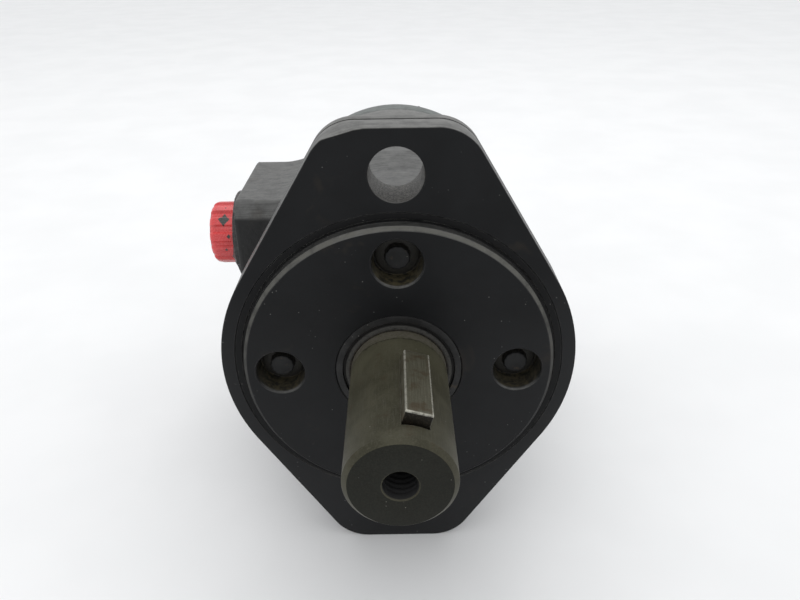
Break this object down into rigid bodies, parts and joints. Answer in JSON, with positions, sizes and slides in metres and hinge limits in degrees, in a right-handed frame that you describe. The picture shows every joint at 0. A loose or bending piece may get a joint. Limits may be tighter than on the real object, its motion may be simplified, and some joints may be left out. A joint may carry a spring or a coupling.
{
  "type": "hydraulic motor",
  "caption": "Orbital hydraulic motor: oval two-bolt flange, keyed straight shaft with threaded end hole, side port block, roller gerotor set and round rear cap.",
  "frame": {"origin": "centre of the flange's mounting face, on the shaft axis", "axes": "-Y along the shaft, out of the flange; +Y towards the rear cap; +Z along the long side of the flange; -X out of the port face"},
  "size_m": [0.1084, 0.1709, 0.1286],
  "materials": {
    "flange_paint": "satin black paint on a machined iron casting",
    "housing_paint": "satin black paint on a rough iron casting",
    "plate_paint": "black paint over a turned steel rim",
    "ring_paint": "black paint over a turned steel rim",
    "cap_paint": "satin black paint",
    "screw_steel": "black oxide steel",
    "plug_steel": "black painted steel",
    "seal_case": "dark pressed steel",
    "seal_rubber": "matt black rubber",
    "oring_rubber": "smooth black rubber",
    "shaft_steel": "dull bare steel with a brownish protective film",
    "key_steel": "bare cold-drawn steel with worn bright edges",
    "inner_steel": "ground steel",
    "cage_brass": "pressed cage with rollers",
    "red_plastic": "semi-gloss red plastic with black paint over-spray"
  },
  "bodies": {
    "casing": {"mounting_flange": "flange_paint", "flange_screws": "screw_steel", "dust_seal_case": "seal_case", "dust_seal": "seal_rubber", "shaft_seal": "seal_rubber", "seal_washer": "inner_steel", "flange_oring": "oring_rubber", "housing": "housing_paint", "drain_plug": "plug_steel", "thrust_race": "inner_steel", "housing_oring": "oring_rubber", "spacer_plate": "plate_paint", "ring_oring": "oring_rubber", "roller_ring": "ring_paint", "cap_oring": "oring_rubber", "end_cap": "cap_paint", "end_cap_screws": "screw_steel"},
    "shaft": {"output_shaft": "shaft_steel", "shaft_key": "key_steel", "shaft_race": "inner_steel"},
    "bearing_cage": {"thrust_cage": "cage_brass"},
    "orbit_stop": {"drive_stop": "inner_steel"},
    "star": {"star_rotor": "inner_steel"},
    "link": {"drive_link": "inner_steel"},
    "roller_1_body": {"roller_1": "inner_steel"},
    "roller_2_body": {"roller_2": "inner_steel"},
    "roller_3_body": {"roller_3": "inner_steel"},
    "roller_4_body": {"roller_4": "inner_steel"},
    "roller_5_body": {"roller_5": "inner_steel"},
    "roller_6_body": {"roller_6": "inner_steel"},
    "roller_7_body": {"roller_7": "inner_steel"},
    "cap": {"port_cap": "red_plastic"}
  },
  "joints": [
    {"name": "shaft_spin", "type": "hinge", "parent": "casing", "child": "shaft", "pos_m": [0, 0, 0], "axis": [0, 1, 0], "continuous": true},
    {"name": "cage_spin", "type": "hinge", "parent": "casing", "child": "bearing_cage", "pos_m": [0, 0, 0], "axis": [0, 1, 0], "continuous": true},
    {"name": "orbit", "type": "hinge", "parent": "casing", "child": "orbit_stop", "pos_m": [0, 0.1215, 0], "axis": [0, 1, 0], "continuous": true},
    {"name": "star_spin", "type": "hinge", "parent": "orbit_stop", "child": "star", "pos_m": [-0.0025, 0.10225, 0], "axis": [0, 1, 0], "continuous": true},
    {"name": "link_spin", "type": "hinge", "parent": "orbit_stop", "child": "link", "pos_m": [0, 0.06, 0], "axis": [-0.0591, 0.9983, 0], "continuous": true},
    {"name": "roller_1_spin", "type": "hinge", "parent": "casing", "child": "roller_1_body", "pos_m": [0.027, 0.10225, 0], "axis": [0, 1, 0], "continuous": true},
    {"name": "roller_2_spin", "type": "hinge", "parent": "casing", "child": "roller_2_body", "pos_m": [0.01683, 0.10225, 0.02111], "axis": [0, 1, 0], "continuous": true},
    {"name": "roller_3_spin", "type": "hinge", "parent": "casing", "child": "roller_3_body", "pos_m": [-0.00601, 0.10225, 0.02632], "axis": [0, 1, 0], "continuous": true},
    {"name": "roller_4_spin", "type": "hinge", "parent": "casing", "child": "roller_4_body", "pos_m": [-0.02433, 0.10225, 0.01171], "axis": [0, 1, 0], "continuous": true},
    {"name": "roller_5_spin", "type": "hinge", "parent": "casing", "child": "roller_5_body", "pos_m": [-0.02433, 0.10225, -0.01171], "axis": [0, 1, 0], "continuous": true},
    {"name": "roller_6_spin", "type": "hinge", "parent": "casing", "child": "roller_6_body", "pos_m": [-0.00601, 0.10225, -0.02632], "axis": [0, 1, 0], "continuous": true},
    {"name": "roller_7_spin", "type": "hinge", "parent": "casing", "child": "roller_7_body", "pos_m": [0.01683, 0.10225, -0.02111], "axis": [0, 1, 0], "continuous": true},
    {"name": "cap_slide", "type": "slide", "parent": "casing", "child": "cap", "axis": [-1, 0, 0], "range_m": [0, 0.03]}
  ],
  "couplings": [
    {"joint": "cage_spin", "follows": "shaft_spin", "ratio": 0.5},
    {"joint": "orbit", "follows": "shaft_spin", "ratio": -6},
    {"joint": "star_spin", "follows": "shaft_spin", "ratio": 7},
    {"joint": "link_spin", "follows": "shaft_spin", "ratio": 7}
  ]
}
